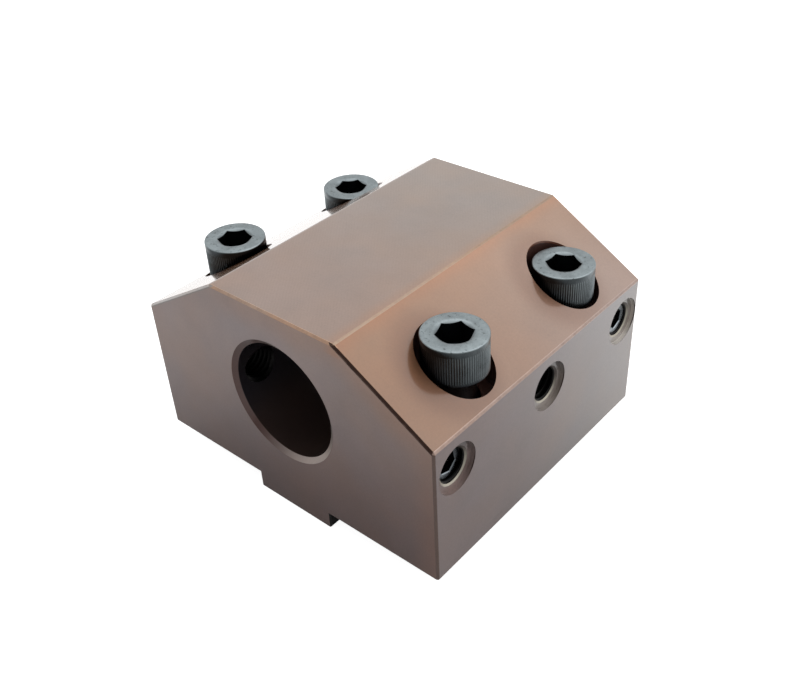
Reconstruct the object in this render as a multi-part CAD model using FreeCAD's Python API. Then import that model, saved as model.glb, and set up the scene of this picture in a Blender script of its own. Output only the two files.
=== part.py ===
"""Axial tool holder block for a lathe turret, with its mounting screws and clamp screws.

X runs across the block, Y along the tool bore and Z up from the mounting face.
The origin is the centre of the four mounting screws, on the mounting face.
The block's front face, where the tool goes in, looks towards -Y.
"""

import FreeCAD, Part

import math
import os

# Driving dimensions of the block, in millimetres.
screw_spacing_across = 73.0
screw_spacing_along = 44.5
side_margin = 11.5
block_height = 56.0
side_height = 39.5
top_flat_width = 41.0
front_edge_break = 0.5
rear_edge_break = 0.2
upper_edge_break = 0.35
underside_edge_break = 0.2

# Places along the block, chained from the front face to the rear face.
front_edge_to_clamp = 8.0
front_clamp_to_screw = 14.25
rear_screw_to_clamp = 12.4
rear_clamp_to_edge = 6.85

# Tool bore, right through the block.
bore_diameter = 32.0
bore_height = 29.8
bore_mouth_width = 1.45
bore_mouth_depth = 1.0

# Tongue that lines the block up in the turret's groove, part of the block itself.
tongue_width = 25.4
tongue_depth = 5.0

# Mounting screws, socket head cap screws of size M10 x 50.
mount_thread = 10.0
mount_thread_pitch = 1.5
mount_thread_length = 32.0
mount_length = 50.0
mount_head_diameter = 16.0
mount_head_height = 10.0
mount_head_edge = 0.3
mount_head_foot = 0.5
mount_tip_edge = 0.7
mount_socket_flats = 8.0
mount_socket_depth = 6.0
mount_hole_clearance = 0.9
mount_head_clearance = 1.35
mount_hole_mouth = 0.5
web_over_clamp_holes = 1.0

# Clamp screws, socket set screws of size M10 x 20 that press on the tool's shank.
clamp_thread = 10.0
clamp_length = 20.0
clamp_face_edge = 0.9
clamp_tip_edge = 1.6
clamp_socket_flats = 5.0
clamp_socket_depth = 5.0
clamp_running_clearance = 0.05
clamp_recess_ledge = 1.6
clamp_recess_depth = 1.2

# How far each clamp screw's outer face lies under the floor of its recess, front to rear.
clamp_depths_right = (1.6, 9.0, 0.9)
clamp_depths_left = (1.6, 1.6, 1.6)

# The loose block stands nose down on a table, and its four mounting screws stand on the same table.
table_lean_deg = 4.3
front_right_extra_height = 0.4

# Angle of each mounting screw's socket about its own axis, in degrees.
socket_turns = {
    "front_right": -11.0,
    "rear_right": 28.0,
    "front_left": -15.0,
    "rear_left": -14.0,
}
clamp_socket_turns = (12.0, 31.0, -8.0)

# A hexagonal socket ends in the cone that its drill leaves.
socket_cone_deg = 30.0

# A mounting screw's thread is a plain cylinder of its pitch diameter, this many pitches under its outer one.
pitch_diameter_drop = 0.6495

# How far a cutting shape reaches past the face that it opens through, and when two places count as one.
overshoot = 1.0
same_place = 0.01

# Sizes that follow from those above.
block_width = screw_spacing_across + 2 * side_margin
front_y = -(screw_spacing_along / 2 + front_clamp_to_screw + front_edge_to_clamp)
rear_y = screw_spacing_along / 2 + rear_screw_to_clamp + rear_clamp_to_edge
block_length = rear_y - front_y
side_x = block_width / 2
bore_radius = bore_diameter / 2
mount_radius = mount_thread / 2
mount_thread_radius = (mount_thread - pitch_diameter_drop * mount_thread_pitch) / 2
clamp_radius = clamp_thread / 2
clamp_stations = (front_y + front_edge_to_clamp, 0.0, rear_y - rear_clamp_to_edge)
mount_seat_height = bore_height + clamp_radius + web_over_clamp_holes
recess_floor_x = side_x - clamp_recess_depth
recess_radius = clamp_radius + clamp_recess_ledge

X_AXIS = FreeCAD.Vector(1, 0, 0)
Y_AXIS = FreeCAD.Vector(0, 1, 0)
Z_AXIS = FreeCAD.Vector(0, 0, 1)


def revolved(profile):
    """Solid of revolution about Z from (radius, height) points, closed along the axis."""
    start = profile[0]
    end = profile[-1]
    outline = [(0, start[1])] + profile + [(0, end[1])]
    points = [FreeCAD.Vector(radius, 0, height) for radius, height in outline]
    points.append(points[0])
    face = Part.Face(Part.makePolygon(points))
    return face.revolve(FreeCAD.Vector(0, 0, 0), Z_AXIS, 360)


def hex_socket(across_flats, depth, turn_deg):
    """Hexagonal pocket that opens upwards at z = 0 and ends in a drilled cone."""
    corner_radius = across_flats / math.sqrt(3)
    corners = []
    for index in range(6):
        angle = math.radians(turn_deg) + index * math.pi / 3
        corner = FreeCAD.Vector(math.cos(angle), math.sin(angle), 0) * corner_radius
        corners.append(corner - Z_AXIS * depth)
    corners.append(corners[0])
    prism = Part.Face(Part.makePolygon(corners)).extrude(Z_AXIS * (depth + overshoot))
    cone_height = across_flats / 2 * math.tan(math.radians(socket_cone_deg))
    cone = Part.makeCone(0, across_flats / 2, cone_height, FreeCAD.Vector(0, 0, -depth - cone_height))
    return prism.fuse(cone)


def across_the_block(shape, station, outer_face_x, side):
    """Lay a shape that was made along Z down along X, its top facing out of the given side."""
    placed = shape.copy()
    placed.rotate(FreeCAD.Vector(0, 0, 0), Y_AXIS, 90 * side)
    placed.translate(FreeCAD.Vector(side * outer_face_x, station, bore_height))
    return placed


def block_outline():
    """Corners of the end face, anticlockwise as seen from the front, tongue included."""
    half_top = top_flat_width / 2
    half_tongue = tongue_width / 2
    right_side = [
        (half_tongue, -tongue_depth),
        (half_tongue, 0),
        (side_x, 0),
        (side_x, side_height),
        (half_top, block_height),
    ]
    left_side = [(-x, z) for x, z in reversed(right_side)]
    return right_side + left_side


def inward(start, end):
    """Direction square to one side of an anticlockwise outline, towards its inside."""
    length = math.dist(start, end)
    return ((start[1] - end[1]) / length, (end[0] - start[0]) / length)


def inset(corners, upper_distance, underside_distance):
    """Move each side of the end face's outline inwards and give the new corners.

    A side with both its corners at or under the mounting face belongs to the underside.
    """
    sides = []
    for start, end in zip(corners, corners[1:] + corners[:1]):
        of_underside = start[1] <= 0 and end[1] <= 0
        distance = underside_distance if of_underside else upper_distance
        sides.append((inward(start, end), distance))
    moved = []
    for index, (x, z) in enumerate(corners):
        (before_x, before_z), before_move = sides[index - 1]
        (after_x, after_z), after_move = sides[index]
        turn = before_x * after_z - before_z * after_x
        move_x = (before_move * after_z - after_move * before_z) / turn
        move_z = (after_move * before_x - before_move * after_x) / turn
        moved.append((x + move_x, z + move_z))
    return moved


def outline_wire(corners, y):
    """Closed wire through the corners of an end face, at one place along the block."""
    points = [FreeCAD.Vector(x, y, z) for x, z in corners]
    points.append(points[0])
    return Part.makePolygon(points)


def block_blank():
    """Block and tongue as one bar, with its long edges and its end faces' edges broken."""
    corners = block_outline()
    sections = [
        outline_wire(inset(corners, front_edge_break, underside_edge_break), front_y),
        outline_wire(corners, front_y + front_edge_break),
        outline_wire(corners, rear_y - rear_edge_break),
        outline_wire(inset(corners, rear_edge_break, rear_edge_break), rear_y),
    ]
    broken_ends = Part.makeLoft(sections, True, True)
    bar = Part.Face(outline_wire(corners, front_y)).extrude(Y_AXIS * block_length)
    bar = break_long_edges(bar, underside_edge_break, -block_height, side_height / 2)
    bar = break_long_edges(bar, upper_edge_break, side_height / 2, 2 * block_height)
    return bar.common(broken_ends)


def break_long_edges(bar, size, lowest, highest):
    """Chamfer the bar's long edges between two heights, apart from the inside corners at the tongue."""
    root_x = tongue_width / 2
    long_edges = []
    for edge in bar.Edges:
        middle = edge.CenterOfMass
        runs_along = edge.BoundBox.YLength > block_length / 2
        in_the_root = abs(abs(middle.x) - root_x) < same_place and abs(middle.z) < same_place
        if runs_along and lowest < middle.z < highest and not in_the_root:
            long_edges.append(edge)
    return bar.makeChamfer(size, long_edges)


def tool_bore():
    """Through bore along Y that flares at each end."""
    flare = bore_mouth_width / bore_mouth_depth
    outer_radius = bore_radius + bore_mouth_width + overshoot * flare
    bore = revolved([
        (outer_radius, -overshoot),
        (bore_radius, bore_mouth_depth),
        (bore_radius, block_length - bore_mouth_depth),
        (outer_radius, block_length + overshoot),
    ])
    bore.rotate(FreeCAD.Vector(0, 0, 0), X_AXIS, -90)
    bore.translate(FreeCAD.Vector(0, front_y, bore_height))
    return bore


def mount_hole():
    """Clearance hole and counterbore of one mounting screw, along Z from below the mounting face."""
    hole_radius = mount_radius + mount_hole_clearance
    mouth_radius = hole_radius + mount_hole_mouth
    head_radius = mount_head_diameter / 2 + mount_head_clearance
    return revolved([
        (mouth_radius + overshoot, -overshoot),
        (hole_radius, mount_hole_mouth),
        (hole_radius, mount_seat_height),
        (head_radius, mount_seat_height),
        (head_radius, block_height + overshoot),
    ])


def clamp_hole():
    """Threaded hole of one clamp screw, along Z from the bore's axis, with the block's side at z = 0."""
    return revolved([
        (clamp_radius, -side_x),
        (clamp_radius, -clamp_recess_depth),
        (recess_radius, -clamp_recess_depth),
        (recess_radius, overshoot),
    ])


def mount_places():
    """Name, x and y of each mounting screw, seen from the front."""
    places = []
    for side_name, side in (("right", 1), ("left", -1)):
        for row_name, row in (("front", -1), ("rear", 1)):
            x = side * screw_spacing_across / 2
            y = row * screw_spacing_along / 2
            places.append((row_name + "_" + side_name, x, y))
    return places


def holder_body():
    """Block with its bore, its four counterbored screw holes and its six threaded clamp holes."""
    body = block_blank().cut(tool_bore())
    for _, x, y in mount_places():
        hole = mount_hole()
        hole.translate(FreeCAD.Vector(x, y, 0))
        body = body.cut(hole)
    for side in (1, -1):
        for station in clamp_stations:
            body = body.cut(across_the_block(clamp_hole(), station, side_x, side))
    return body


def mounting_screw(turn_deg):
    """Cap screw along Z, with the underside of its head at z = 0."""
    head_radius = mount_head_diameter / 2
    thread_end = mount_thread_length - mount_length
    screw = revolved([
        (mount_thread_radius - mount_tip_edge, -mount_length),
        (mount_thread_radius, mount_tip_edge - mount_length),
        (mount_thread_radius, thread_end),
        (mount_radius, thread_end + mount_radius - mount_thread_radius),
        (mount_radius, 0),
        (head_radius - mount_head_foot, 0),
        (head_radius, mount_head_foot),
        (head_radius, mount_head_height - mount_head_edge),
        (head_radius - mount_head_edge, mount_head_height),
    ])
    socket = hex_socket(mount_socket_flats, mount_socket_depth, turn_deg)
    socket.translate(Z_AXIS * mount_head_height)
    return screw.cut(socket)


def screw_underside(place, y):
    """Height of a loose screw's head: its tip stands on the table, unless its head meets its seat first."""
    table_height = -tongue_depth - math.tan(math.radians(table_lean_deg)) * (y - front_y)
    extra_height = front_right_extra_height if place == "front_right" else 0
    return max(table_height + mount_length + extra_height, mount_seat_height)


def clamp_screw(turn_deg):
    """Set screw along Z, with its socket face at z = 0 and its flat point below."""
    radius = clamp_radius - clamp_running_clearance
    screw = revolved([
        (radius - clamp_tip_edge, -clamp_length),
        (radius, clamp_tip_edge - clamp_length),
        (radius, -clamp_face_edge),
        (radius - clamp_face_edge, 0),
    ])
    return screw.cut(hex_socket(clamp_socket_flats, clamp_socket_depth, turn_deg))


def save(shape, node):
    """Write one piece as a STEP file and print what it measures."""
    piece = shape.Solids[0]
    heights = (round(piece.BoundBox.ZMin, 2), round(piece.BoundBox.ZMax, 2))
    print(node, "solids", len(shape.Solids), "volume", round(piece.Volume), "z from and to", heights)
    piece.exportStep("parts/" + node + ".step")


os.makedirs("parts", exist_ok=True)
save(holder_body(), "holder_body")
for place, x, y in mount_places():
    screw = mounting_screw(socket_turns[place])
    screw.translate(FreeCAD.Vector(x, y, screw_underside(place, y)))
    save(screw, "mounting_screw_" + place)
for side_name, side, depths in (("right", 1, clamp_depths_right), ("left", -1, clamp_depths_left)):
    rows = zip(("front", "middle", "rear"), clamp_stations, depths, clamp_socket_turns)
    for row_name, station, depth, turn in rows:
        screw = across_the_block(clamp_screw(turn), station, recess_floor_x - depth, side)
        save(screw, "clamp_screw_" + side_name + "_" + row_name)
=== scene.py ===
# %% [markdown]
# Axial tool holder block
#
# A holder of this kind is one block of browned steel that bolts onto a lathe turret and grips a round
# shank in its bore. The block and its ten screws come from a CAD model that never changes here. This
# lesson dresses that model: it sets the camera and a plain studio, gives the block its browned finish,
# and builds the knurled cap screws, the threaded set screws and the threads they run in.

# %% Load the model
import math

import bmesh
import bpy
import numpy as np
from mathutils import Matrix, Vector


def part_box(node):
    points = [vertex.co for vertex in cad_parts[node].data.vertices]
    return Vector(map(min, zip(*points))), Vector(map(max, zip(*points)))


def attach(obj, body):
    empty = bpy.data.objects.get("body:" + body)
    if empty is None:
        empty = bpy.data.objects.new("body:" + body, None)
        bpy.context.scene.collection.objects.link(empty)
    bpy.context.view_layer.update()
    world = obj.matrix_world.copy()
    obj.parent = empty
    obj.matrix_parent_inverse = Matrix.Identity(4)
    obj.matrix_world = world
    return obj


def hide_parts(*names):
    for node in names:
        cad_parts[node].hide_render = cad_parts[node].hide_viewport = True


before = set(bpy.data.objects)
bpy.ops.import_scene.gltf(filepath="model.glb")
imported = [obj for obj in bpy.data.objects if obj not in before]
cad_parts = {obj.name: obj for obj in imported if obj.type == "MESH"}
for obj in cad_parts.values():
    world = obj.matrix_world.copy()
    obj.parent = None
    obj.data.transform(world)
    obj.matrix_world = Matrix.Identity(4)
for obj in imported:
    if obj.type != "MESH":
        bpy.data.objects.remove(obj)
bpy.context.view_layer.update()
MM = 0.001
print("CAD nodes:", ", ".join(sorted(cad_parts)))

# %% [markdown]
# The camera comes first, because every later choice is judged through it. Its place and direction were
# fitted to the block's edges, so a corner of the model falls on the same spot as in the picture. A
# rotation matrix is written from three directions at right angles: the camera looks along its own -Z
# and its own X points to the right of the picture.

# %% Camera
camera_place = Vector((145.92, -160.08, 177.50)) * MM
looking = Vector((-0.5455, 0.6058, -0.5791)).normalized()
upwards = Vector((-0.3474, 0.4654, 0.8141))
image_width = 811
focal_pixels = 971.3
sensor_width = 36.0
nearest_seen = 0.01

rightwards = looking.cross(upwards).normalized()
upwards = rightwards.cross(looking)
turn = Matrix((rightwards, upwards, -looking)).transposed()

camera_data = bpy.data.cameras.new("camera")
camera_data.sensor_fit = "HORIZONTAL"
camera_data.sensor_width = sensor_width
camera_data.lens = focal_pixels * sensor_width / image_width
camera_data.clip_start = nearest_seen
camera = bpy.data.objects.new("camera", camera_data)
camera.matrix_world = Matrix.Translation(camera_place) @ turn.to_4x4()
bpy.context.collection.objects.link(camera)
bpy.context.scene.camera = camera
bpy.context.scene.view_settings.view_transform = "Standard"
print("lens in mm:", round(camera_data.lens, 2))

# %% [markdown]
# Materials and the world are trees of nodes. These helpers keep a tree readable: each adds one node or
# a few and gives back the output, so a formula reads from left to right as it would on paper. A colour
# is written as it looks on a screen, from 0 to 255, and turned into the light values that a shader
# works with.

# %% Helpers for node trees
def paint(red, green, blue):
    """Screen colour from 0 to 255 as linear light: the screen's curve undone for each channel."""
    screen = np.array([red, green, blue]) / 255
    linear = np.where(screen <= 0.04045, screen / 12.92, ((screen + 0.055) / 1.055) ** 2.4)
    return (*map(float, linear), 1.0)


def add_node(tree, kind, inputs=None, **settings):
    """Add a node, set its options, and set or link each named or numbered input."""
    node = tree.nodes.new(kind)
    for name, value in settings.items():
        setattr(node, name, value)
    for name, value in (inputs or {}).items():
        if isinstance(value, bpy.types.NodeSocket):
            tree.links.new(value, node.inputs[name])
        else:
            node.inputs[name].default_value = value
    return node


def reckon(tree, operation, *values):
    """One step of arithmetic on single numbers."""
    return add_node(tree, "ShaderNodeMath", dict(enumerate(values)), operation=operation).outputs[0]


def product(tree, *factors):
    """All factors multiplied. Of masks it makes one that is 1 only where every one of them is 1."""
    result = factors[0]
    for factor in factors[1:]:
        result = reckon(tree, "MULTIPLY", result, factor)
    return result


def vary(tree, pattern, strength, tone=1.0):
    """A tone plus a pattern's share: the strength times how far the pattern is above one half."""
    above_half = reckon(tree, "SUBTRACT", pattern, 0.5)
    return reckon(tree, "MULTIPLY_ADD", above_half, strength, tone)


def along(tree, place, direction):
    """Distance of a place along a direction: the dot product of the two."""
    inputs = {0: place, 1: Vector(direction).normalized()}
    return add_node(tree, "ShaderNodeVectorMath", inputs, operation="DOT_PRODUCT").outputs["Value"]


def fade(tree, value, start, end, low=0.0, high=1.0):
    """Smooth step: low up to start, high from end on, and an S-shaped passage between them."""
    inputs = {"Value": value, "From Min": start, "From Max": end, "To Min": low, "To Max": high}
    node = add_node(tree, "ShaderNodeMapRange", inputs, interpolation_type="SMOOTHSTEP")
    return node.outputs["Result"]


def blend(tree, factor, first, second, mode="MIX"):
    """Mix of two colours, by a factor from 0 to 1. They enter the mixing node at its inputs 6 and 7."""
    inputs = {0: factor, 6: first, 7: second}
    return add_node(tree, "ShaderNodeMix", inputs, data_type="RGBA", blend_type=mode).outputs[2]


def shaded(tree, colour, tone):
    """A colour made lighter or darker by a tone, where 1 leaves it as it is."""
    grey = add_node(tree, "ShaderNodeCombineColor", {0: tone, 1: tone, 2: tone}).outputs[0]
    return blend(tree, 1.0, colour, grey, "MULTIPLY")


def noise(tree, place, scale, detail=2.0, roughness=0.5):
    """Soft random pattern from 0 to 1. The scale is in waves per millimetre."""
    inputs = {"Vector": place, "Scale": scale, "Detail": detail, "Roughness": roughness}
    return add_node(tree, "ShaderNodeTexNoise", inputs).outputs[0]


def millimetres(tree):
    """Place on the object in millimetres, from Object coordinates."""
    place = add_node(tree, "ShaderNodeTexCoord").outputs["Object"]
    return add_node(tree, "ShaderNodeMapping", {"Vector": place, "Scale": (1 / MM,) * 3}).outputs[0]


def new_material(name):
    """Material with an empty Principled shader, its tree and the shader."""
    material = bpy.data.materials.new(name)
    material.use_nodes = True
    tree = material.node_tree
    return material, tree, tree.nodes["Principled BSDF"]


print("one wave per millimetre is one wave per", MM, "m")

# %% [markdown]
# The block was photographed loose on a table. It leans forward a little, because its front screws stand
# on the table and so does the front edge of its tongue. The model is level, so the floor leans instead.
# The floor shows itself white to the camera, and the white is not more light: only the rays that come
# from the camera or from a reflection see it. What is left of the real light keeps the object's shadow.
# In reflections the floor is dark in front of the block and bright behind it, a little more so towards
# the left, as in a studio that is lit from behind. That makes the left shoulder white, and it gives the
# side a sheen that the front doesn't get.

# %% Floor
white = (1, 1, 1, 1)
tongue_depth = 5.0
front_y = -44.5
table_lean_deg = 4.3
floor_half_size = 3000.0
floor_own_white = 0.92
floor_mirror_dim = 0.0
floor_mirror_bright = 0.85
floor_bright_way = (-0.35, 0.93, 0.0)
floor_fade = (-45.0, 90.0)

floor_flat = floor_half_size * np.array([(-1, -1), (1, -1), (1, 1), (-1, 1)])
floor_drop = math.tan(math.radians(table_lean_deg)) * (floor_flat[:, 1] - front_y)
floor_corners = np.column_stack([floor_flat, -tongue_depth - floor_drop]) * MM
floor_mesh = bpy.data.meshes.new("floor")
floor_mesh.from_pydata(floor_corners.tolist(), [], [(0, 1, 2, 3)])
floor = bpy.data.objects.new("floor", floor_mesh)
bpy.context.collection.objects.link(floor)

floor_material, tree, shader = new_material("pale floor")
shader.inputs["Base Color"].default_value = paint(200, 200, 200)
shader.inputs["Roughness"].default_value = 0.6
rays = add_node(tree, "ShaderNodeLightPath").outputs
seen = reckon(tree, "MAXIMUM", rays["Is Camera Ray"], rays["Is Transmission Ray"])
own_white = product(tree, seen, floor_own_white)
towards_rear = along(tree, millimetres(tree), floor_bright_way)
mirror_white = fade(tree, towards_rear, *floor_fade, floor_mirror_dim, floor_mirror_bright)
mirror_white = product(tree, rays["Is Glossy Ray"], mirror_white)
strength = reckon(tree, "ADD", own_white, mirror_white)
shader.inputs["Emission Color"].default_value = white
tree.links.new(strength, shader.inputs["Emission Strength"])
floor_mesh.materials.append(floor_material)
print("floor leans", table_lean_deg, "degrees")

# %% [markdown]
# Behind everything the world is plain white for the camera. The steel mirrors a room that is white above
# and behind the block and darker where the photographer stands, which is what gives each face its own
# tone. Matt surfaces get a weaker, even light from it.

# %% World
room_diffuse = 0.44
room_dark = 0.06
room_bright = 0.9
room_bright_way = (-0.10, 0.75, 0.60)
room_fade = (-0.75, 0.35)

world = bpy.data.worlds.new("room")
world.use_nodes = True
bpy.context.scene.world = world
tree = world.node_tree
direction = add_node(tree, "ShaderNodeTexCoord").outputs["Generated"]
mirrored = fade(tree, along(tree, direction, room_bright_way), *room_fade, room_dark, room_bright)
rays = add_node(tree, "ShaderNodeLightPath").outputs
seen = reckon(tree, "MAXIMUM", rays["Is Camera Ray"], rays["Is Transmission Ray"])
matt = reckon(tree, "SUBTRACT", 1.0, reckon(tree, "MAXIMUM", seen, rays["Is Glossy Ray"]))
strength = reckon(tree, "MULTIPLY_ADD", mirrored, rays["Is Glossy Ray"], seen)
strength = reckon(tree, "MULTIPLY_ADD", matt, room_diffuse, strength)
background = tree.nodes["Background"]
background.inputs["Color"].default_value = white
tree.links.new(strength, background.inputs["Strength"])
print("room mirrored from", room_dark, "to", room_bright)

# %% [markdown]
# Two large soft lamps hang over the block: one above and behind on the right, which lights the side and
# the sloping shoulder, and one high behind on the left. Neither reaches the sides of the screw heads that
# face the front, which stay nearly black. Large lamps close to a small object give shadows with wide, soft
# edges. A lamp is set by its brightness, where 1 looks white, and a square lamp needs pi times its area
# times its brightness in watts for that.

# %% Lamps
def soft_lamp(name, place, aim, size, brightness):
    """Square area lamp that looks from its place to its aim, both in millimetres."""
    data = bpy.data.lights.new(name, "AREA")
    data.size = size * MM
    data.energy = brightness * math.pi * data.size ** 2
    lamp = bpy.data.objects.new(name, data)
    facing = (Vector(aim) - Vector(place)).to_track_quat("-Z", "Y").to_matrix().to_4x4()
    lamp.matrix_world = Matrix.Translation(Vector(place) * MM) @ facing
    bpy.context.collection.objects.link(lamp)
    return lamp


lamp_aim = (0.0, 0.0, 30.0)
soft_lamp("lamp behind right", (420, 300, 480), lamp_aim, size=700, brightness=1.05)
soft_lamp("lamp above left", (-110, 150, 660), lamp_aim, size=600, brightness=0.95)

# %% [markdown]
# The block's finish is a brown oxide on ground and milled steel, thin enough for the metal to shine
# through. Each face took it a little differently: the shoulders came out tan, the top greyer with crossed
# milling marks, the ends and sides dusky. The front is also painted darker towards its bottom, a painted
# shade. A face is found by arithmetic on the place: the distance along its normal is largest on the face
# itself. So no picture or selection is needed, and the pattern stays put.

# %% Sizes of the block's faces
half_top = 20.5
side_x = 48.0
side_height = 39.5
block_height = 56.0
rear_y = 41.5
bore_height = 29.8
bore_radius = 16.0
bore_mouth_radius = 17.45
clamp_stations = {"front": -36.5, "middle": 0.0, "rear": 34.65}
recess_floor = 46.8
recess_radius = 6.6
screw_x = 36.5
screw_y = 22.25
counterbore_radius = 9.35

slope_run = side_x - half_top
slope_drop = block_height - side_height
slope_length = math.hypot(slope_run, slope_drop)
slope_normal = (slope_drop / slope_length, 0.0, slope_run / slope_length)
slope_distance = half_top * slope_normal[0] + block_height * slope_normal[2]
print("shoulder normal:", [round(n, 3) for n in slope_normal], "distance", round(slope_distance, 2))

# %% Places on the block
steel, tree, shader = new_material("browned steel")
place = millimetres(tree)
x, y, z = add_node(tree, "ShaderNodeSeparateXYZ", {0: place}).outputs[:3]
across = reckon(tree, "ABSOLUTE", x)
forwards = reckon(tree, "MULTIPLY", y, -1.0)
folded = add_node(tree, "ShaderNodeCombineXYZ", {0: across, 1: y, 2: z}).outputs[0]
shoulder = along(tree, folded, slope_normal)
mask_step = 0.02


def within(distance, plane, reach):
    """1 where a distance comes within a reach of a plane, and 0 deeper in the steel."""
    return fade(tree, distance, plane - reach - mask_step, plane - reach)


def inside(distance, radius, begin=0.1, full=0.05):
    """1 within a radius, and 0 beyond it. Begin and full say how far outside the radius the step lies."""
    return fade(tree, distance, radius + begin, radius + full)


def away(first, second):
    """Distance from an axis: the root of the sum of two squares."""
    squares = reckon(tree, "MULTIPLY_ADD", first, first, reckon(tree, "MULTIPLY", second, second))
    return reckon(tree, "SQRT", squares)


def apart(first, second):
    """Distance between two numbers, whichever is larger."""
    return reckon(tree, "ABSOLUTE", reckon(tree, "SUBTRACT", first, second))


over_bore = reckon(tree, "SUBTRACT", z, bore_height)
from_bore = away(x, over_bore)
from_column = reckon(tree, "SUBTRACT", across, screw_x)
from_row = reckon(tree, "SUBTRACT", reckon(tree, "ABSOLUTE", y), screw_y)
from_screw = away(from_column, from_row)
from_stations = [apart(y, station) for station in clamp_stations.values()]
from_station = reckon(tree, "MINIMUM", reckon(tree, "MINIMUM", *from_stations[:2]), from_stations[2])
from_clamp = away(from_station, over_bore)
along_block = fade(tree, y, front_y, rear_y)
print("places that the finish reads: faces, bore and screws")

# %% [markdown]
# The finish is laid on in coats, like paint: first the dark browns of the hollows, with painted shade and
# painted light in some of them, then the flat faces, then the tints where heat coloured the film and a
# painted shadow round each cap screw, and then the broken edges, where the film rubbed off, with painted
# highlight and painted shade on some of them. Each coat covers only the zone where its mask is 1. The
# cloudy grain and the crossed milling marks come last.

# %% Masks of the hollows
counterbore_lip_reach = 0.5
mouth_reach = 1.05
recess_reach = 1.3
recess_lip_reach = 0.28
underside_fade = (0.3, 0.25)

in_counterbore = inside(from_screw, counterbore_radius)
on_lip = within(shoulder, slope_distance, counterbore_lip_reach)
counterbore_lip = product(tree, in_counterbore, on_lip)
in_bore = inside(from_bore, bore_radius, begin=0.03, full=0.01)
in_flare = inside(from_bore, bore_mouth_radius, begin=0.06, full=0.0)
in_mouth = reckon(tree, "SUBTRACT", in_flare, in_bore)
on_mouth = product(tree, in_mouth, within(reckon(tree, "ABSOLUTE", y), rear_y, mouth_reach))
in_recess = inside(from_clamp, recess_radius)
in_recess = product(tree, in_recess, within(across, side_x, recess_reach))
on_wall = fade(tree, from_clamp, recess_radius - 0.1, recess_radius - 0.04)
recess_wall = product(tree, in_recess, on_wall)
# Painted shade: a dark line along the upper part of each recess's lip.
recess_lip_shade = product(tree, in_recess, within(across, side_x, recess_lip_reach))
recess_lip_shade = product(tree, recess_lip_shade, fade(tree, z, bore_height - 6, bore_height - 3))
# Painted shade: everything below the mounting face, the tongue included, is painted near black.
shaded_underside = fade(tree, z, *underside_fade)
print("recesses are", 2 * recess_radius, "mm wide")

# %% Browned steel in the hollows, with painted light and shade
low_in_bore = fade(tree, z, bore_height - 4, bore_height - 14)
bore_tone = blend(tree, low_in_bore, paint(56, 51, 56), paint(72, 56, 51))
# Painted light and shade: the chamfer at the bore's mouth is painted near white on the right and dark brown
# on the left.
lit_mouth_tone = blend(tree, fade(tree, x, -12, 8), paint(104, 76, 70), paint(196, 180, 172))
# Painted shade: the upper part of each recess is painted darker than its lower part.
recess_shade_tone = blend(tree, along_block, paint(84, 72, 69), paint(90, 84, 78))
lower_tone = blend(tree, fade(tree, y, -38, -8), paint(138, 119, 114), paint(148, 139, 133))
low_in_recess = fade(tree, z, bore_height + 4.5, bore_height - 1)
recess_tone = blend(tree, low_in_recess, recess_shade_tone, lower_tone)
# Painted light: the walls of the recesses towards the rear are painted near white.
lit_wall_tone = blend(tree, fade(tree, y, 5, 30), lower_tone, paint(226, 220, 212))
hollow_coats = [
    (in_counterbore, paint(88, 58, 50)),
    (counterbore_lip, paint(140, 88, 66)),
    (in_bore, bore_tone),
    (on_mouth, lit_mouth_tone),
    (in_recess, recess_tone),
    (recess_wall, lit_wall_tone),
    (recess_lip_shade, paint(74, 56, 50)),
    (shaded_underside, paint(22, 11, 8)),
]
colour = paint(84, 62, 54)
for mask, coat in hollow_coats:
    colour = blend(tree, mask, colour, coat)

# %% Browned steel on the faces
skin = 0.03
shoulder_low_tint = (0.86, 0.89, 0.97, 1.0)

# Painted shade: the front face is painted darker towards its bottom and lighter towards its top.
up_left = along(tree, place, (-0.25, 0.0, 0.97))
front_shaded_tone = blend(tree, fade(tree, up_left, -4, 52), paint(130, 106, 101), paint(184, 164, 159))
side_tone = blend(tree, along_block, paint(140, 123, 120), paint(124, 114, 110))
top_tone = blend(tree, along_block, paint(155, 130, 116), paint(155, 139, 128))
shoulder_tone = blend(tree, along_block, paint(139, 101, 72), paint(164, 131, 109))
low_on_shoulder = fade(tree, across, half_top, side_x)
shoulder_tone = blend(tree, low_on_shoulder, shoulder_tone, shoulder_low_tint, "MULTIPLY")
face_coats = [
    (y, rear_y, paint(150, 132, 124)),
    (forwards, -front_y, front_shaded_tone),
    (across, side_x, side_tone),
    (z, block_height, top_tone),
    (shoulder, slope_distance, shoulder_tone),
]
for distance, plane, coat in face_coats:
    colour = blend(tree, within(distance, plane, skin), colour, coat)

# %% Tints and painted shadows on the faces
warm = (1.12, 0.97, 0.84, 1.0)
shadow_tint = (0.78, 0.68, 0.62, 1.0)
ridge_warm_reach = 4.0
shadow_width = 6.0
shadow_forwards = 3.0

below_top = reckon(tree, "SUBTRACT", block_height, z)
below_shoulder = reckon(tree, "SUBTRACT", slope_distance, shoulder)
from_side = reckon(tree, "SUBTRACT", side_x, across)
from_outline = reckon(tree, "MINIMUM", reckon(tree, "MINIMUM", below_top, below_shoulder), from_side)
near_outline = product(tree, fade(tree, from_outline, 9.0, 1.0), fade(tree, x, -24, -8))
front_warm = product(tree, near_outline, within(forwards, -front_y, skin))
near_ridge = fade(tree, apart(x, half_top), ridge_warm_reach, 0.0)
ridge_warm = product(tree, near_ridge, fade(tree, z, 52.5, 53.5))
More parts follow.
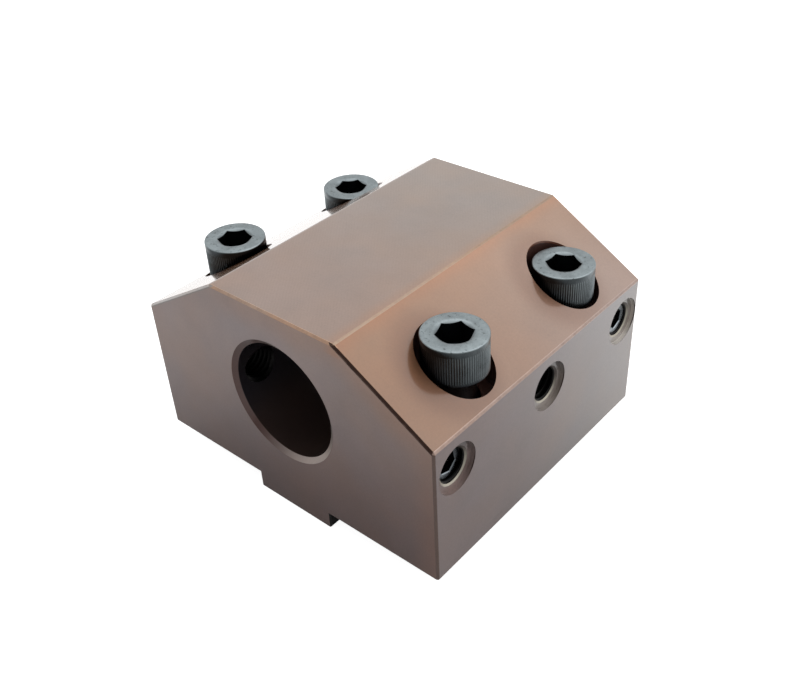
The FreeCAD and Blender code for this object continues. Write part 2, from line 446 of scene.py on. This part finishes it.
# Painted shadow: a darker ring round each cap screw on the shoulder, moved towards the front, where the
# head's shadow falls.
shadow_row = reckon(tree, "ABSOLUTE", reckon(tree, "ADD", y, shadow_forwards))
from_shadow = away(from_column, reckon(tree, "SUBTRACT", shadow_row, screw_y))
round_screw = fade(tree, from_shadow, counterbore_radius + shadow_width, counterbore_radius)
screw_shadow = product(tree, round_screw, within(shoulder, slope_distance, skin))
for mask, tint in ((front_warm, warm), (ridge_warm, warm), (screw_shadow, shadow_tint)):
    colour = blend(tree, mask, colour, tint, "MULTIPLY")

# %% [markdown]
# A broken edge lies close to two faces at once, so its mask is the product of two. The reach is how deep
# below a face the mask still holds, and a shallow edge such as the ridge of the shoulder needs a smaller
# one for the same width. The edge colours are partly wear and partly painted highlight and painted shade:
# the front edge of the right shoulder is painted nearly black and loses most of its coat, so it hardly
# shines, a painted shade.

# %% Browned steel along the edges
broad = 0.8
medium = 0.6
middling = 0.45
narrow = 0.2
shade_coat_loss = 0.8

wear_pattern = noise(tree, place, scale=0.5, detail=3.0, roughness=0.6)
wear = fade(tree, wear_pattern, 0.3, 0.6, low=0.75, high=1.0)
on_right = fade(tree, x, -1, 1)
top_band = within(z, block_height, medium)
side_band = within(across, side_x, medium)
end_band = within(forwards, -front_y, medium)
shoulder_band = within(shoulder, slope_distance, broad)
shoulder_edge = within(shoulder, slope_distance, middling)
side_edge = within(across, side_x, middling)
end_edge = within(forwards, -front_y, middling)
top_ridge = within(z, block_height, narrow)
shoulder_ridge = within(shoulder, slope_distance, narrow)
shoulder_front = product(tree, shoulder_band, end_edge)
# Edge colours: partly wear, partly painted highlight and painted shade; the right shoulder's front edge is
# painted nearly black.
edge_wear_and_light_coats = [
    (product(tree, top_band, end_band), paint(196, 160, 134), paint(200, 158, 128)),
    (shoulder_front, paint(172, 164, 160), paint(52, 24, 8)),
    (product(tree, side_band, end_band), paint(140, 128, 122), paint(106, 82, 72)),
    (product(tree, top_ridge, shoulder_ridge), paint(160, 140, 128), paint(162, 132, 106)),
    (product(tree, shoulder_edge, side_edge), paint(176, 156, 142), paint(172, 144, 130)),
]
for edge, left_coat, right_coat in edge_wear_and_light_coats:
    coat = blend(tree, on_right, left_coat, right_coat)
    colour = blend(tree, product(tree, edge, wear), colour, coat)
# Painted shade: the right shoulder's front edge loses most of its coat, so that it hardly shines.
shoulder_front_shade = product(tree, shoulder_front, on_right)
coat_weight = reckon(tree, "MULTIPLY_ADD", shoulder_front_shade, -shade_coat_loss, 1.0)

# %% Grain of the browned steel
cool_tint = (0.95, 1.0, 1.06, 1.0)
warm_tint = (1.04, 0.99, 0.94, 1.0)
cloud_bend = 1.5
milling_strength = -0.09

blotches = noise(tree, place, scale=0.035, detail=3.0, roughness=0.55)
clouds = noise(tree, place, scale=0.12, detail=4.0, roughness=0.6)
grain = noise(tree, place, scale=1.8, detail=4.0, roughness=0.7)
hue = noise(tree, place, scale=0.045, detail=2.0, roughness=0.5)
tinting = blend(tree, fade(tree, hue, 0.25, 0.75), cool_tint, warm_tint)
colour = blend(tree, 1.0, colour, tinting, "MULTIPLY")
tone = vary(tree, blotches, strength=0.30)
tone = vary(tree, clouds, strength=0.22, tone=tone)
tone = vary(tree, grain, strength=0.26, tone=tone)


def milling(direction, spacing):
    """Ripple from 0 to 1 across a direction, one wave for each spacing, bent a little by the clouds."""
    bent = reckon(tree, "MULTIPLY_ADD", clouds, cloud_bend, along(tree, place, direction))
    wave = reckon(tree, "SINE", reckon(tree, "MULTIPLY", bent, 2 * math.pi / spacing))
    return reckon(tree, "MULTIPLY_ADD", wave, 0.5, 0.5)


crossed = product(
    tree,
    milling((1.0, 0.8, 0.0), spacing=0.72),
    milling((1.0, -0.9, 0.0), spacing=0.66),
    within(z, block_height, skin),
    fade(tree, blotches, 0.35, 0.65, low=0.3),
)
tone = reckon(tree, "MULTIPLY_ADD", crossed, milling_strength, tone)
print("milling marks on the top, crossed")

# %% Browned steel put together
rough = reckon(tree, "MULTIPLY_ADD", clouds, 0.14, 0.36)
height = reckon(tree, "MULTIPLY_ADD", crossed, 0.6, grain)
bump = add_node(tree, "ShaderNodeBump", {"Strength": 0.12, "Distance": 0.00003, "Height": height})
tree.links.new(shaded(tree, colour, tone), shader.inputs["Base Color"])
tree.links.new(coat_weight, shader.inputs["Coat Weight"])
tree.links.new(rough, shader.inputs["Roughness"])
tree.links.new(bump.outputs[0], shader.inputs["Normal"])
shader.inputs["Metallic"].default_value = 0.45
shader.inputs["Coat Roughness"].default_value = 0.12

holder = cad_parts["holder_body"]
holder.data.materials.clear()
holder.data.materials.append(steel)
print("browned steel nodes:", len(tree.nodes))

# %% [markdown]
# Every screw is one sheet of points: rows run along its outline, from the bottom of the socket over the
# head to the tip, and columns run round its axis. The two ends of a row meet in a seam, a row of radius
# nothing is a pole, and both are closed by merging points that fall together. That is lighter and cleaner
# than cutting solids, and every tooth and thread is exactly where its formula says.

# %% Helpers for meshes
merge_distance = 1e-6
degenerate_length = 1e-7


def ring_sheet(radii, heights, angles):
    """Points of a sheet round Z: x = radius times cosine, y = radius times sine, z = height."""
    radii, heights, angles = np.broadcast_arrays(radii, heights, angles)
    return np.stack([radii * np.cos(angles), radii * np.sin(angles), heights], axis=-1)


def sheet_of_rows(rows, angles):
    """Points and wear-and-light values of a sheet, from rows of radius, height and that value."""
    points = np.stack([ring_sheet(radius, height, angles) for radius, height, _ in rows])
    wear_and_light = [np.broadcast_to(bare, angles.shape).astype(float) for _, _, bare in rows]
    return points, np.stack(wear_and_light)


def sheet_faces(rows, columns, first=0):
    """Four-sided faces between neighbouring rows and columns of a sheet, seen from outside."""
    index = np.arange(rows * columns).reshape(rows, columns) + first
    corners = [index[:-1, :-1], index[1:, :-1], index[1:, 1:], index[:-1, 1:]]
    return np.stack(corners, axis=-1).reshape(-1, 4).tolist()


def clean(mesh):
    """Merge points that fall together, drop what has shrunk to nothing, and count the open edges."""
    work = bmesh.new()
    work.from_mesh(mesh)
    bmesh.ops.remove_doubles(work, verts=work.verts, dist=merge_distance)
    bmesh.ops.dissolve_degenerate(work, edges=work.edges, dist=degenerate_length)
    work.to_mesh(mesh)
    open_edges = sum(1 for edge in work.edges if len(edge.link_faces) != 2)
    work.free()
    return open_edges


def build_piece(name, points, faces, body, material, wear_and_light=None, sharp_deg=30.0):
    """Make one closed piece from points in metres, and let it ride on its body.

    The wear-and-light value, a number for each point, tells the material where the black film is thick or
    worn and where light and shade are painted on.
    """
    mesh = bpy.data.meshes.new(name)
    mesh.from_pydata(points.reshape(-1, 3).tolist(), [], faces)
    if wear_and_light is not None:
        layer = mesh.attributes.new("wear_and_light", "FLOAT", "POINT")
        layer.data.foreach_set("value", wear_and_light.ravel())
    open_edges = clean(mesh)
    mesh.shade_smooth()
    mesh.set_sharp_from_angle(angle=math.radians(sharp_deg))
    mesh.materials.append(material)
    piece = bpy.data.objects.new(name, mesh)
    bpy.context.collection.objects.link(piece)
    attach(piece, body)
    print(name, "faces", len(mesh.polygons), "open edges", open_edges)
    return piece


def hexagon(angles, across_flats):
    """Radius of a hexagon: half its flats over the cosine of the angle off the middle of a flat."""
    sixth = math.pi / 3
    return across_flats / 2 / np.cos(np.mod(angles + 1e-9, sixth) - sixth / 2)


print("tiny gap that counts as one point, in mm:", merge_distance / MM)

# %% [markdown]
# A screw thread is a ridge on a helix. If the rows of the sheet climb with it, one pitch for each turn,
# every row keeps one radius, so four corners a pitch give a crisp ridge: crest, flank, root, flank. Rows
# that would pass an end are clipped to it, where the thread has faded into a plain ring.

# %% Thread
pitch = 1.5
thread_depth = 0.613 * pitch
crest_half = 1 / 16
root_half = 3 / 8
thread_steps = np.array([0.375, 0.219, 0.0625, -0.0625, -0.219, -0.375, -0.5])
spare_turns = 2


def thread_sheet(low, high, angles):
    """Heights and depths of a thread's rows, from high to low.

    A row's height is the pitch times its step plus its angle in turns. Its depth is nothing on the crest
    and grows in a straight line down the flank to the root.
    """
    first_turn = math.floor(np.min(low) / pitch) - spare_turns
    last_turn = math.ceil(np.max(high) / pitch) + spare_turns
    turns = np.arange(last_turn, first_turn, -1)
    steps = (turns[:, None] + thread_steps).reshape(-1, 1)
    heights = np.clip(pitch * (steps + angles / (2 * math.pi)), low, high)
    off_crest = np.abs(steps - np.round(steps))
    depths = thread_depth * np.interp(off_crest, (crest_half, root_half), (0, 1))
    return heights, depths


print("thread depth in mm:", round(thread_depth, 3))

# %% [markdown]
# The screws are steel under a film of black oxide. Each point of a screw has a value for wear and light,
# which says how far the film is worn off and also carries painted light and shade: 0 is black, and 1 is
# a blue grey that is also a little rougher. The heads are barest on top and on the tips of the knurl.
# The socket, the knurl's valleys and the lower side of each head are painted darker, a painted shade, and
# the outward side of each head is painted lighter, a painted light. Small dark specks show only where the
# value is high.

# %% Blackened screw steel
speck_strength = -0.45


def blackened(name, black, worn, roughness):
    """Black oxide on steel: from black to a worn blue grey, by a value that holds both wear and painted
    light and shade, cloudy, with small darker specks.
    """
    material, tree, shader = new_material(name)
    place = millimetres(tree)
    clouds = noise(tree, place, scale=0.35, detail=4.0, roughness=0.6)
    grain = noise(tree, place, scale=5.0)
    # This attribute holds wear and also painted light and shade.
    wear_and_light = add_node(tree, "ShaderNodeAttribute", attribute_name="wear_and_light").outputs["Fac"]
    specks = fade(tree, noise(tree, place, scale=1.3), 0.60, 0.70)
    specks = product(tree, specks, fade(tree, wear_and_light, 0.7, 0.9))
    tone = vary(tree, clouds, strength=0.9)
    tone = vary(tree, grain, strength=0.5, tone=tone)
    tone = reckon(tree, "MULTIPLY_ADD", specks, speck_strength, tone)
    colour = shaded(tree, blend(tree, wear_and_light, black, worn), tone)
    rough = fade(tree, wear_and_light, 0.4, 0.9, low=roughness - 0.2, high=roughness - 0.1)
    rough = reckon(tree, "MULTIPLY_ADD", clouds, 0.2, rough)
    bump = add_node(tree, "ShaderNodeBump", {"Strength": 0.15, "Distance": 0.00003, "Height": grain})
    tree.links.new(colour, shader.inputs["Base Color"])
    tree.links.new(rough, shader.inputs["Roughness"])
    tree.links.new(bump.outputs[0], shader.inputs["Normal"])
    shader.inputs["Metallic"].default_value = 1.0
    return material


black = paint(24, 26, 32)
cap_steel = blackened("blackened cap screw steel", black, paint(140, 149, 152), roughness=0.40)
set_steel = blackened("blackened set screw steel", black, paint(158, 166, 172), roughness=0.36)
print("made", cap_steel.name, "and", set_steel.name)

# %% [markdown]
# The cap screws are the parts that catch the eye, so they are modelled in full: a hexagonal socket with
# its drilled cone, a flat ring on top, a rounded rim, and a straight knurl of 84 teeth that a real one
# has for grip. Knurl and socket share 336 columns, which puts a column on every corner of the hexagon.
# Under the head, where it is flat, each four fine columns meet one of the 84 that the shank needs.

# %% Knurled head
head_columns = 336
shank_columns = 84
columns_per_tooth = 4
head_radius = 8.0
head_height = 10.0
socket_flats = 8.0
socket_depth = 6.0
socket_cone = 4.0 * math.tan(math.radians(30))
socket_mouth_radius = 4.74
socket_mouth_slope = 0.55
socket_edge = 0.04
rim_size = 0.32
knurl_depth = 0.15
tooth = np.array([1.0, 0.35, 0.0, 0.35])
top_rings = [(socket_mouth_radius, 1), (5.6, 0.95), (6.6, 1)]
# Painted shade: the knurl's valleys are darker than its crests, partly dirt and partly painted shade, and
# both get darker towards the foot of the head.
knurl_rows = [(-1.9, 1.3, 1.0), (-5.3, 1.1, 0.9), (-8.7, 0.75, 0.6)]
under_rings = [(head_radius, -9.5), (7.5, -head_height), (7.2, -head_height)]
# The socket and the flat under the head are painted black, partly the black film and partly painted shade.
dark_film_and_shade = 0.1


def head_sheet(turn, lit_direction):
    """Rows of a cap screw's head, from its socket's pole to the flat under it, with its top at height 0.

    The socket's mouth is a shallow cone, which cuts the six flats lower in their middles than at their
    corners. The rim is a quarter of a circle. A knurl row's radius is the head's less the tooth's depth.
    Round the side the value is scaled by half of one plus the cosine of the angle from the lit side, a
    painted light and shade.
    """
    angles = turn + np.linspace(0, 2 * math.pi, head_columns + 1)
    flats = hexagon(angles - turn, socket_flats)
    teeth = np.append(np.tile(tooth, head_columns // columns_per_tooth), tooth[0])
    knurled = head_radius - knurl_depth * teeth
    mouth_depth = socket_mouth_slope * (socket_mouth_radius - flats)
    # Painted light and shade: one side of the head is painted lighter and the opposite side darker.
    lit_side = 0.5 + 0.5 * np.cos(angles - lit_direction)
    rows = [(0, -socket_depth - socket_cone, dark_film_and_shade), (socket_flats / 2, -socket_depth, dark_film_and_shade)]
    rows += [(flats, -socket_depth, dark_film_and_shade), (flats, -mouth_depth - socket_edge, 0.15)]
    rows += [(flats, -mouth_depth, 0.5)]
    rows += [(radius, 0, wear_and_light) for radius, wear_and_light in top_rings]
    for a in np.radians(np.linspace(0, 90, 5))[:-1]:
        rows += [(head_radius - rim_size * (1 - math.sin(a)), -rim_size * (1 - math.cos(a)), 1)]
    rows += [(head_radius, -rim_size, 0.7 * lit_side), (head_radius, -1.5, 0.55 * lit_side)]
    rows += [(knurled, height, (crest - loss * teeth) * lit_side) for height, crest, loss in knurl_rows]
    rows += [(head_radius, -9.0, 0.3 * lit_side)]
    rows += [(radius, height, dark_film_and_shade) for radius, height in under_rings]
    return sheet_of_rows(rows, angles)


print("knurl pitch in mm:", round(2 * math.pi * head_radius / (head_columns / columns_per_tooth), 3))

# %% Threaded shank
shank_radius = 5.0
shank_end = -28.0
screw_end = -60.0
tip_radius = 3.9
screw_crest = 4.95
runout_slope = 0.8
shank_bareness = 0.35
fillet = [(5.7, -head_height), (5.2, -10.15), (shank_radius, -10.5), (shank_radius, shank_end)]


def shank_sheet(turn):
    """Rows of a cap screw's shank, from the flat under its head to the pole of its tip.

    The thread fades out below the plain shank, and a cone cuts it off at the tip.
    """
    angles = turn + np.linspace(0, 2 * math.pi, shank_columns + 1)
    heights, depths = thread_sheet(screw_end, shank_end, angles)
    radii = np.maximum(screw_crest - depths, shank_radius - runout_slope * (shank_end - heights))
    radii = np.minimum(radii, tip_radius + (heights - screw_end))
    upper = np.stack([ring_sheet(radius, height, angles) for radius, height in fillet])
    tip = ring_sheet(0, screw_end, angles)[None]
    points = np.concatenate([upper, ring_sheet(radii, heights, angles), tip])
    return points, np.full(points.shape[:2], shank_bareness)


def stitch(fine_start, coarse_start):
    """Flat faces under the head: each joins four fine edges to one coarse edge."""
    per_edge = head_columns // shank_columns
    coarse = coarse_start + np.arange(shank_columns)
    fine = fine_start + np.arange(shank_columns) * per_edge
    outer = [fine + step for step in range(per_edge, 0, -1)]
    return np.stack([fine, coarse, coarse + 1, *outer], axis=-1).tolist()


print("shank rows:", len(shank_sheet(0.0)[0]))

# %% [markdown]
# Each screw stands where the CAD model has it, at the height and with the socket turned as photographed.
# The box of its CAD node gives its axis and the top of its head, so nothing is typed twice. The side of a
# head that faces outwards is painted lighter and the side that faces inwards darker, a painted light and
# shade.

# %% Cap screws
socket_turns = {"front_right": -11.0, "rear_right": 28.0, "front_left": -15.0, "rear_left": -14.0}
# Painted light: the angle of the side of each head that is painted lighter.
lit_directions = {"right": 40.0, "left": 200.0}


def cap_screw(place, turn_deg):
    """Build one cap screw on the axis of its CAD node, and hide that node behind it."""
    node = "mounting_screw_" + place
    low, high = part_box(node)
    lit_direction = lit_directions[place.split("_")[1]]
    head, head_wear_and_light = head_sheet(math.radians(turn_deg), math.radians(lit_direction))
    shank, shank_bare = shank_sheet(math.radians(turn_deg))
    points = np.concatenate([head.reshape(-1, 3), shank.reshape(-1, 3)])
    wear_and_light = np.concatenate([head_wear_and_light.ravel(), shank_bare.ravel()])
    points += np.array([(low.x + high.x) / 2, (low.y + high.y) / 2, high.z]) / MM
    head_size = head.shape[0] * head.shape[1]
    faces = sheet_faces(*head.shape[:2]) + sheet_faces(*shank.shape[:2], first=head_size)
    faces += stitch(head_size - head.shape[1], head_size)
    name = "cap_screw_" + place
    piece = build_piece(name, points * MM, faces, node, cap_steel, wear_and_light)
    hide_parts(node)
    return piece


for place_name, turn_deg in socket_turns.items():
    cap_screw(place_name, turn_deg)

# %% [markdown]
# The clamp screws have no head, so the same sheet is all thread: a hexagonal socket, a narrow face, the
# thread with both its ends bevelled, and a flat point. The bevel behind the face is gentle, so that a
# screw that is fed outwards passes the narrow mouth of its hole. The rows of its thread count from the
# block's middle plane, and so do those of the hole's thread below, so the two threads mesh. One turn moves
# a screw by one pitch, and every limit of its travel is a whole number of turns away.

# %% Set screws
set_flats = 5.0
set_socket_depth = 5.0
set_cone = set_flats / 2 * math.tan(math.radians(30))
set_mouth = 0.2
set_face_edge = 3.6
set_crest = 4.9
set_face_radius = 3.95
set_face_slope = 0.5
set_tip_radius = 3.35
set_lit_turn = 0.8
thread_bareness = 0.1
clamp_turns = {"front": 12.0, "middle": 31.0, "rear": -8.0}


def set_screw_sheet(low, high, turn):
    """Rows of a set screw from its socket's pole to its tip, with heights from the block's middle.

    Round the face the value rises and falls with the cosine of the angle, a painted light and shade.
    """
    angles = turn + np.linspace(0, 2 * math.pi, shank_columns + 1)
    flats = hexagon(angles - turn, set_flats)
    floor_height = high - set_socket_depth
    # Painted light and shade: the face is painted lighter on one side and darker on the other, and the
    # socket black.
    lit_side = 0.65 + 0.35 * np.cos(angles + set_lit_turn)
    rows = [(0, floor_height - set_cone, 0), (set_flats / 2, floor_height, 0), (flats, floor_height, 0.1)]
    rows += [(flats, high - set_mouth - socket_edge, 0.4 * lit_side), (flats, high - set_mouth, lit_side)]
    rows += [(flats + set_mouth, high, lit_side), (set_face_edge, high, 0.8 * lit_side)]
    upper, wear_and_light = sheet_of_rows(rows, angles)
    heights, depths = thread_sheet(low, high, angles)
    radii = np.minimum(set_crest - depths, set_face_radius + set_face_slope * (high - heights))
    radii = np.minimum(radii, set_tip_radius + (heights - low))
    lower = np.concatenate([ring_sheet(radii, heights, angles), ring_sheet(0, low, angles)[None]])
    wear_and_light = np.concatenate([wear_and_light, np.full(lower.shape[:2], thread_bareness)])
    return np.concatenate([upper, lower]), wear_and_light


def lay_across(points, side):
    """Turn a piece made along Z so that its top faces out of one side, +1 for right or -1 for left."""
    return np.stack([side * points[..., 2], points[..., 1], -side * points[..., 0]], axis=-1)


def set_screw(side_name, side, row_name):
    """Build one set screw on the axis of its CAD node, and hide that node behind it."""
    node = "clamp_screw_" + side_name + "_" + row_name
    low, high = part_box(node)
    inner, outer = sorted((side * low.x / MM, side * high.x / MM))
    sheet, wear_and_light = set_screw_sheet(inner, outer, math.radians(clamp_turns[row_name]))
    points = lay_across(sheet, side) + np.array([0, clamp_stations[row_name], bore_height])
    faces = sheet_faces(*sheet.shape[:2])
    name = "set_screw_" + side_name + "_" + row_name
    piece = build_piece(name, points * MM, faces, node, set_steel, wear_and_light)
    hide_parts(node)
    return piece


sides = {"right": 1, "left": -1}
for side_name, side in sides.items():
    for row_name in clamp_stations:
        set_screw(side_name, side, row_name)

# %% [markdown]
# The CAD model's clamp holes are plain. A lining gives each its thread: a thin sleeve set into the steel,
# with the ridge turned inwards, a narrow countersink at its mouth, and an inner end that follows the curve
# of the tool bore. Deep inside, the steel is painted dark, a painted shade. The countersink is bare metal,
# painted bright along its lower side, a painted light, and brown along its upper side, a painted shade.

# %% Thread linings
lining_root = 4.98
lining_ridge_share = 0.85
lining_outer = 5.3
lining_end_slope = 1.5
lining_shoulder = 0.4
mouth_radius = 5.08
mouth_inner = 4.50
mouth_height = recess_floor - 0.02
mouth_depth = 0.34


def bore_wall(radius, angles):
    """Distance of the tool bore's wall from the middle plane, at a place on a sleeve round a clamp hole."""
    return np.sqrt(bore_radius ** 2 - (radius * np.cos(angles)) ** 2)


def lining_sheet():
    """Rows of a sleeve: up its threaded inside from the bore, over its mouth and back down its outside.

    The thread fades into a plain ring at the bore and at the foot of the countersink's cone.
    """
    angles = np.linspace(0, 2 * math.pi, shank_columns + 1)
    low = bore_wall(lining_root, angles)
    high = mouth_height - mouth_depth
    heights, depths = thread_sheet(low, high, angles)
    radii = lining_root - lining_ridge_share * depths
    radii = np.maximum(radii, lining_root - lining_end_slope * (heights - low))
    below_mouth = high - heights
    radii = np.clip(radii, mouth_inner - below_mouth, mouth_inner + lining_end_slope * below_mouth)
    inside_rows = ring_sheet(radii, heights, angles)[::-1]
    rows = [(mouth_radius, mouth_height), (lining_outer, mouth_height - lining_shoulder)]
    rows += [(lining_outer, bore_wall(lining_outer, angles) + lining_shoulder), (lining_root, low)]
    outside_rows = np.stack([ring_sheet(radius, height, angles) for radius, height in rows])
    return np.concatenate([inside_rows, outside_rows])


print("lining rows:", len(lining_sheet()))

# %% Bare steel in the holes, with painted light and shade
cone_foot = mouth_height - mouth_depth
middle_lowered = 3.0
metal_share = 0.8

bare, tree, shader = new_material("bare steel of the clamp holes")
place = millimetres(tree)
x, y, z = add_node(tree, "ShaderNodeSeparateXYZ", {0: place}).outputs[:3]
scratches = noise(tree, place, scale=1.1, detail=3.0, roughness=0.6)
at_mouth = fade(tree, reckon(tree, "ABSOLUTE", x), cone_foot - 0.06, cone_foot)
# Painted shade: the thread deep in each hole is painted nearly black.
shaded_deep = blend(tree, scratches, paint(20, 19, 20), paint(38, 37, 36))
bright = blend(tree, scratches, paint(160, 154, 142), paint(190, 184, 170))
# Painted light and shade: the countersink is painted bright along its lower side and brown along its upper
# side; in the middle holes the bright part is smaller.
lowered = fade(tree, reckon(tree, "ABSOLUTE", y), 14.0, 12.0, high=middle_lowered)
lit_low = fade(tree, reckon(tree, "ADD", z, lowered), bore_height + 4.0, bore_height - 2.0)
cone_tone = blend(tree, lit_low, paint(72, 62, 56), bright)
browned = product(tree, at_mouth, reckon(tree, "SUBTRACT", 1.0, lit_low))
metallic = reckon(tree, "MULTIPLY_ADD", browned, -metal_share, metal_share)
rough = reckon(tree, "MULTIPLY_ADD", scratches, 0.2, 0.25)
tree.links.new(blend(tree, at_mouth, shaded_deep, cone_tone), shader.inputs["Base Color"])
tree.links.new(metallic, shader.inputs["Metallic"])
tree.links.new(rough, shader.inputs["Roughness"])

for side_name, side in sides.items():
    for row_name, station in clamp_stations.items():
        sheet = lining_sheet()
        points = lay_across(sheet, side) + np.array([0, station, bore_height])
        name = "thread_lining_" + side_name + "_" + row_name
        build_piece(name, points * MM, sheet_faces(*sheet.shape[:2]), "holder", bare)
